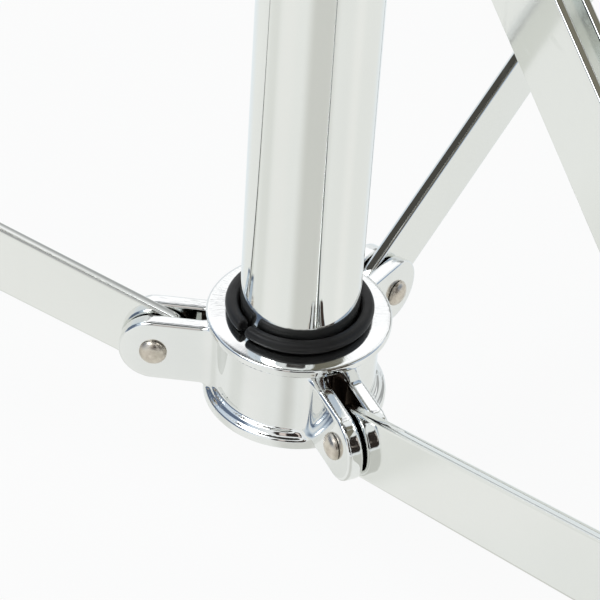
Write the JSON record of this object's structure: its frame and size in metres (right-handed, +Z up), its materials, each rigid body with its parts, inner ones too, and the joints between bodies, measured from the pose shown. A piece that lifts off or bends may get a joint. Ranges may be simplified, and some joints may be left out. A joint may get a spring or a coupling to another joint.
{
  "type": "double cymbal stand",
  "caption": "Chromed double cymbal stand: folding tripod of braced strap legs, telescoping mast and two boom arms with tilting felt cymbal seats.",
  "frame": {"origin": "on the mast's axis at floor level", "axes": "+Z up along the mast, +X towards the upper boom, tripod arm 1 along -X"},
  "size_m": [0.9688, 0.8424, 1.2278],
  "materials": {
    "chrome": "polished chrome plate on steel",
    "cast_chrome": "chrome plate on a cast body",
    "rivet_steel": "bare warm grey steel, satin",
    "zinc_plated": "bright zinc plate",
    "black_nylon": "black nylon, satin",
    "black_rubber": "black rubber, dull",
    "grey_felt": "dark grey wool felt"
  },
  "bodies": {
    "base": {"base_tube": "chrome", "lower_hub": "cast_chrome", "hub_bushing": "black_nylon", "hub_rivet_1": "rivet_steel", "hub_rivet_2": "rivet_steel", "hub_rivet_3": "rivet_steel", "hub_set_screw": "zinc_plated", "base_clamp": "cast_chrome", "base_clamp_bushing": "black_nylon", "base_clamp_bolt": "zinc_plated"},
    "base_clamp_wing_nut": {"base_clamp_wing_nut": "zinc_plated"},
    "brace_1": {"brace_1": "chrome"},
    "leg_1": {"leg_1_strap_left": "chrome", "leg_1_strap_right": "chrome", "leg_1_joint_rivet": "rivet_steel", "foot_1": "black_rubber"},
    "brace_2": {"brace_2": "chrome"},
    "leg_2": {"leg_2_strap_left": "chrome", "leg_2_strap_right": "chrome", "leg_2_joint_rivet": "rivet_steel", "foot_2": "black_rubber"},
    "brace_3": {"brace_3": "chrome"},
    "leg_3": {"leg_3_strap_left": "chrome", "leg_3_strap_right": "chrome", "leg_3_joint_rivet": "rivet_steel", "foot_3": "black_rubber"},
    "collar": {"upper_collar": "cast_chrome", "collar_bushing": "black_nylon", "collar_rivet_1": "rivet_steel", "collar_rivet_2": "rivet_steel", "collar_rivet_3": "rivet_steel"},
    "collar_wing_bolt": {"collar_wing_bolt": "zinc_plated"},
    "memory_lock": {"memory_lock": "cast_chrome", "memory_lock_screw": "zinc_plated"},
    "mast": {"middle_tube": "chrome", "double_holder": "cast_chrome"},
    "boom_right": {"boom_right_swivel": "cast_chrome", "boom_right_eyebolt": "chrome"},
    "boom_right_wing_nut": {"boom_right_wing_nut": "zinc_plated"},
    "boom_right_rod": {"boom_right_rod": "chrome", "boom_right_end_cap": "black_rubber", "tilter_right_base": "cast_chrome"},
    "tilter_right_wing_bolt": {"tilter_right_wing_bolt": "zinc_plated"},
    "tilter_right_head": {"tilter_right_head": "cast_chrome", "cymbal_seat_right": "black_nylon", "lower_felt_right": "grey_felt", "upper_felt_right": "grey_felt"},
    "top_wing_nut_right": {"top_wing_nut_right": "zinc_plated"},
    "boom_left": {"boom_left_swivel": "cast_chrome", "boom_left_eyebolt": "chrome"},
    "boom_left_wing_nut": {"boom_left_wing_nut": "zinc_plated"},
    "boom_left_rod": {"boom_left_rod": "chrome", "boom_left_end_cap": "black_rubber", "tilter_left_base": "cast_chrome"},
    "tilter_left_wing_bolt": {"tilter_left_wing_bolt": "zinc_plated"},
    "tilter_left_head": {"tilter_left_head": "cast_chrome", "cymbal_seat_left": "black_nylon", "lower_felt_left": "grey_felt", "upper_felt_left": "grey_felt"},
    "top_wing_nut_left": {"top_wing_nut_left": "zinc_plated"}
  },
  "joints": [
    {"name": "tripod_fold", "type": "hinge", "parent": "base", "child": "brace_1", "pos_m": [-0.034, 0, 0.05581], "axis": [0, 1, 0], "range_deg": [0, 57]},
    {"name": "leg_1_fold", "type": "hinge", "parent": "brace_1", "child": "leg_1", "pos_m": [-0.2122, 0, 0.1466], "axis": [0, -1, 0], "range_deg": [0, 114]},
    {"name": "brace_2_lift", "type": "hinge", "parent": "base", "child": "brace_2", "pos_m": [0.017, -0.02944, 0.05581], "axis": [-0.866, -0.5, 0], "range_deg": [0, 57]},
    {"name": "leg_2_fold", "type": "hinge", "parent": "brace_2", "child": "leg_2", "pos_m": [0.1061, -0.18377, 0.1466], "axis": [0.866, 0.5, 0], "range_deg": [0, 114]},
    {"name": "brace_3_lift", "type": "hinge", "parent": "base", "child": "brace_3", "pos_m": [0.017, 0.02944, 0.05581], "axis": [0.866, -0.5, 0], "range_deg": [0, 57]},
    {"name": "leg_3_fold", "type": "hinge", "parent": "brace_3", "child": "leg_3", "pos_m": [0.1061, 0.18377, 0.1466], "axis": [-0.866, 0.5, 0], "range_deg": [0, 114]},
    {"name": "collar_rise", "type": "hinge", "parent": "leg_1", "child": "collar", "pos_m": [-0.034, 0, 0.2374], "axis": [0, 1, 0], "range_deg": [0, 57]},
    {"name": "collar_wing_bolt_turn", "type": "hinge", "parent": "collar", "child": "collar_wing_bolt", "pos_m": [0.028, 0, 0.2544], "axis": [1, 0, 0], "continuous": true},
    {"name": "base_clamp_wing_nut_turn", "type": "hinge", "parent": "base", "child": "base_clamp_wing_nut", "pos_m": [0.035, -0.00975, 0.574], "axis": [0, -1, 0], "continuous": true},
    {"name": "mast_swivel", "type": "hinge", "parent": "base", "child": "memory_lock", "pos_m": [0, 0, 0.60325], "axis": [0, 0, 1], "continuous": true},
    {"name": "mast_height", "type": "slide", "parent": "memory_lock", "child": "mast", "axis": [0, 0, 1], "range_m": [-0.24, 0.17]},
    {"name": "boom_right_pitch", "type": "hinge", "parent": "mast", "child": "boom_right", "pos_m": [0, 0, 1], "axis": [0, -1, 0], "range_deg": [-48, 42]},
    {"name": "boom_right_wing_nut_turn", "type": "hinge", "parent": "boom_right", "child": "boom_right_wing_nut", "pos_m": [0, -0.00725, 1], "axis": [0, -1, 0], "continuous": true},
    {"name": "boom_right_reach", "type": "slide", "parent": "boom_right", "child": "boom_right_rod", "axis": [0.9511, 0, 0.309], "range_m": [-0.28, 0.04]},
    {"name": "tilter_right_wing_bolt_turn", "type": "hinge", "parent": "boom_right_rod", "child": "tilter_right_wing_bolt", "pos_m": [0.45603, 0.0145, 1.14817], "axis": [0, -1, 0], "continuous": true},
    {"name": "tilter_right_tilt", "type": "hinge", "parent": "boom_right_rod", "child": "tilter_right_head", "pos_m": [0.45603, 0.024, 1.14817], "axis": [0, -1, 0], "range_deg": [-70, 50]},
    {"name": "top_wing_nut_right_turn", "type": "hinge", "parent": "tilter_right_head", "child": "top_wing_nut_right", "pos_m": [0.46407, 0.02975, 1.20536], "axis": [0.1392, 0, 0.9903], "continuous": true},
    {"name": "boom_left_pitch", "type": "hinge", "parent": "mast", "child": "boom_left", "pos_m": [0, 0, 0.94], "axis": [0, 1, 0], "range_deg": [-48, 42]},
    {"name": "boom_left_wing_nut_turn", "type": "hinge", "parent": "boom_left", "child": "boom_left_wing_nut", "pos_m": [0, 0.00725, 0.94], "axis": [0, 1, 0], "continuous": true},
    {"name": "boom_left_reach", "type": "slide", "parent": "boom_left", "child": "boom_left_rod", "axis": [-0.9511, 0, 0.309], "range_m": [-0.28, 0.04]},
    {"name": "tilter_left_wing_bolt_turn", "type": "hinge", "parent": "boom_left_rod", "child": "tilter_left_wing_bolt", "pos_m": [-0.45603, -0.0145, 1.08817], "axis": [0, 1, 0], "continuous": true},
    {"name": "tilter_left_tilt", "type": "hinge", "parent": "boom_left_rod", "child": "tilter_left_head", "pos_m": [-0.45603, -0.024, 1.08817], "axis": [0, 1, 0], "range_deg": [-70, 50]},
    {"name": "top_wing_nut_left_turn", "type": "hinge", "parent": "tilter_left_head", "child": "top_wing_nut_left", "pos_m": [-0.46407, -0.02975, 1.14536], "axis": [-0.1392, 0, 0.9903], "continuous": true}
  ],
  "couplings": [
    {"joint": "leg_1_fold", "follows": "tripod_fold", "ratio": 2},
    {"joint": "brace_2_lift", "follows": "tripod_fold", "ratio": 1},
    {"joint": "leg_2_fold", "follows": "tripod_fold", "ratio": 2},
    {"joint": "brace_3_lift", "follows": "tripod_fold", "ratio": 1},
    {"joint": "leg_3_fold", "follows": "tripod_fold", "ratio": 2},
    {"joint": "collar_rise", "follows": "tripod_fold", "ratio": 1}
  ]
}
